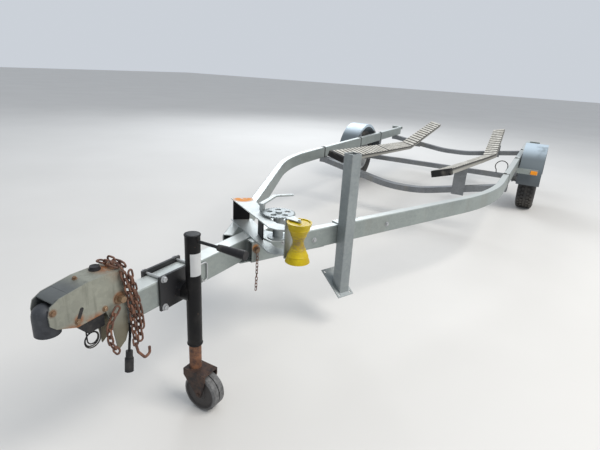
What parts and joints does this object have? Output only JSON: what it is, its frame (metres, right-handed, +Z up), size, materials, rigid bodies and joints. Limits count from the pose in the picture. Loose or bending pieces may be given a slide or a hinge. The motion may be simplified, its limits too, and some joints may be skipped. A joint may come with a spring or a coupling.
{
  "type": "boat trailer",
  "caption": "Single-axle boat trailer: bent tube frame, ribbed bunks, fenders, sliding coupler, winch head, bow roller and swivel jack with castor.",
  "frame": {"origin": "on the ground under the middle of the trailer's box", "axes": "+X forward to the coupler, +Y to the trailer's left side, +Z up"},
  "size_m": [6.4864, 2.256, 0.944],
  "materials": {
    "galvanised": "dull galvanised",
    "fender_paint": "weathered satin",
    "tyre": "dusty",
    "wheel_paint": "satin",
    "black_paint": "worn satin",
    "rusty_steel": "rusty",
    "board": "ribbed",
    "amber": "gloss",
    "grey_caster": "matte",
    "yellow_roller": "faded satin",
    "black_rubber": "matte",
    "black_plastic": "matte",
    "plated": "zinc plated"
  },
  "bodies": {
    "frame": {"actuator_block": "black_plastic", "axle": "galvanised", "bow_roller_bracket": "galvanised", "brake_hose": "black_rubber", "breakaway_coil": "black_plastic", "bunk_bracket_front_left": "galvanised", "bunk_bracket_front_right": "galvanised", "bunk_bracket_rear_left": "galvanised", "bunk_bracket_rear_right": "galvanised", "bunk_front_left": "board", "bunk_front_right": "board", "bunk_middle_left": "board", "bunk_middle_right": "board", "bunk_rear_left": "board", "bunk_rear_right": "board", "chain_bolt": "plated", "chain_hook": "rusty_steel", "coupler_housing": "galvanised", "cross_member_front": "galvanised", "cross_member_rear": "galvanised", "fender_left": "fender_paint", "fender_right": "fender_paint", "fender_stays": "galvanised", "jack_clamp": "galvanised", "junction_bolt": "plated", "junction_plate": "galvanised", "post_saddle": "galvanised", "rail_left": "galvanised", "rail_right": "galvanised", "safety_chain": "rusty_steel", "side_lamp_arm_left": "galvanised", "side_lamp_arm_right": "galvanised", "side_lamp_left": "amber", "side_lamp_right": "amber", "spring_left": "galvanised", "spring_right": "galvanised", "tail_lamp_bracket_left": "galvanised", "tail_lamp_bracket_right": "galvanised", "thin_chain": "rusty_steel", "tongue": "galvanised", "winch_crank": "galvanised", "winch_drum": "galvanised", "winch_frame": "galvanised", "winch_head_plates": "galvanised", "winch_head_webs": "black_paint", "winch_post": "galvanised", "wiring_lead": "black_rubber", "wiring_plug": "black_plastic"},
    "road_wheel_left": {"tyre_left": "tyre", "wheel_left": "wheel_paint"},
    "road_wheel_right": {"tyre_right": "tyre", "wheel_right": "wheel_paint"},
    "jack": {"jack_tube": "black_paint", "jack_crank": "black_paint"},
    "leg": {"jack_leg": "rusty_steel"},
    "caster": {"caster_fork": "rusty_steel"},
    "caster_roll": {"caster_wheels": "grey_caster"},
    "slide": {"coupler_slide": "black_paint"},
    "roller": {"bow_roller": "yellow_roller"}
  },
  "joints": [
    {"name": "wheel_left", "type": "hinge", "parent": "frame", "child": "road_wheel_left", "pos_m": [-1.585, 1.018, 0.305], "axis": [0, 1, 0], "continuous": true},
    {"name": "wheel_right", "type": "hinge", "parent": "frame", "child": "road_wheel_right", "pos_m": [-1.585, -1.018, 0.305], "axis": [0, 1, 0], "continuous": true},
    {"name": "jack_swivel", "type": "hinge", "parent": "frame", "child": "jack", "pos_m": [2.712, 0.108, 0.5], "axis": [0, -1, 0], "range_deg": [0, 90]},
    {"name": "jack_leg", "type": "slide", "parent": "jack", "child": "leg", "axis": [0, 0, -1], "range_m": [-0.05, 0.25]},
    {"name": "caster_swivel", "type": "hinge", "parent": "leg", "child": "caster", "pos_m": [2.712, 0.108, 0.17], "axis": [0, 0, 1], "continuous": true},
    {"name": "caster_roll", "type": "hinge", "parent": "caster", "child": "caster_roll", "pos_m": [2.712, 0.152, 0.078], "axis": [1, 0, 0], "continuous": true},
    {"name": "coupler_slide", "type": "slide", "parent": "frame", "child": "slide", "axis": [1, 0, 0], "range_m": [-0.05, 0]},
    {"name": "bow_roller", "type": "hinge", "parent": "frame", "child": "roller", "pos_m": [2.34566, 0.34199, 0.648], "axis": [0, 0, 1], "continuous": true}
  ]
}
